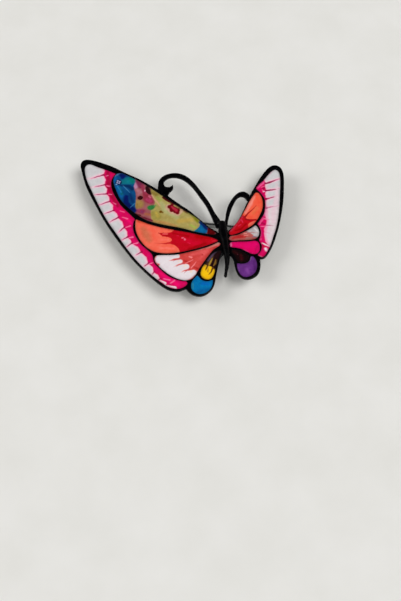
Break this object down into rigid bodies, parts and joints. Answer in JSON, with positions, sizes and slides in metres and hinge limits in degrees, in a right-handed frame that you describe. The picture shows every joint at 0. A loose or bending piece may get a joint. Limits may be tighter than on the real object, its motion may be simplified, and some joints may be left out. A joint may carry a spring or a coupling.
{
  "type": "butterfly brooch",
  "caption": "Asymmetric butterfly brooch in black plated metal with glossy coloured enamel cells, curled antennae and a hinged pin with a locking catch on the back.",
  "frame": {"origin": "under the middle of the bounding box, at the level of the surface that the brooch lies on, face up", "axes": "+Z is the normal of the enamelled face, +Y points towards the butterfly's head, +X points towards the small right wing"},
  "size_m": [0.0573, 0.0431, 0.0061],
  "materials": {
    "black_plate": "glossy black plating",
    "dark_steel": "polished dark steel",
    "white_pink_enamel": "glossy enamel, white running into pink",
    "floral_enamel": "glossy enamel, flower print in many colours",
    "orange_red_enamel": "glossy enamel, orange running into red",
    "white_coral_enamel": "glossy enamel, white running into coral",
    "amber_enamel": "glossy enamel, yellow running into brown",
    "blue_enamel": "glossy enamel",
    "pink_enamel": "glossy enamel",
    "maroon_enamel": "glossy enamel",
    "purple_enamel": "glossy enamel"
  },
  "bodies": {
    "brooch": {"body_casting": "black_plate", "left_wing_frame": "black_plate", "right_wing_frame": "black_plate", "left_antenna": "black_plate", "right_antenna": "black_plate", "left_border_enamel": "white_pink_enamel", "left_floral_enamel": "floral_enamel", "left_orange_red_enamel": "orange_red_enamel", "left_coral_enamel": "white_coral_enamel", "left_amber_enamel": "amber_enamel", "left_blue_enamel": "blue_enamel", "right_border_enamel": "white_pink_enamel", "right_orange_red_enamel": "orange_red_enamel", "right_coral_enamel": "white_coral_enamel", "right_pink_enamel": "pink_enamel", "right_maroon_enamel": "maroon_enamel", "right_purple_enamel": "purple_enamel", "hinge_bracket": "black_plate", "hinge_rivet": "dark_steel", "catch_housing": "black_plate"},
    "pin": {"pin_stem": "dark_steel"},
    "safety_sleeve": {"catch_sleeve": "dark_steel"}
  },
  "joints": [
    {"name": "pin_hinge", "type": "hinge", "parent": "brooch", "child": "pin", "pos_m": [-0.009, 0.00505, 0.00127], "axis": [0.1297, 0.9916, 0], "range_deg": [0, 90]},
    {"name": "sleeve_turn", "type": "hinge", "parent": "brooch", "child": "safety_sleeve", "pos_m": [0.02005, 0.00125, 0.00127], "axis": [0.9916, -0.1297, 0], "range_deg": [0, 150]}
  ]
}
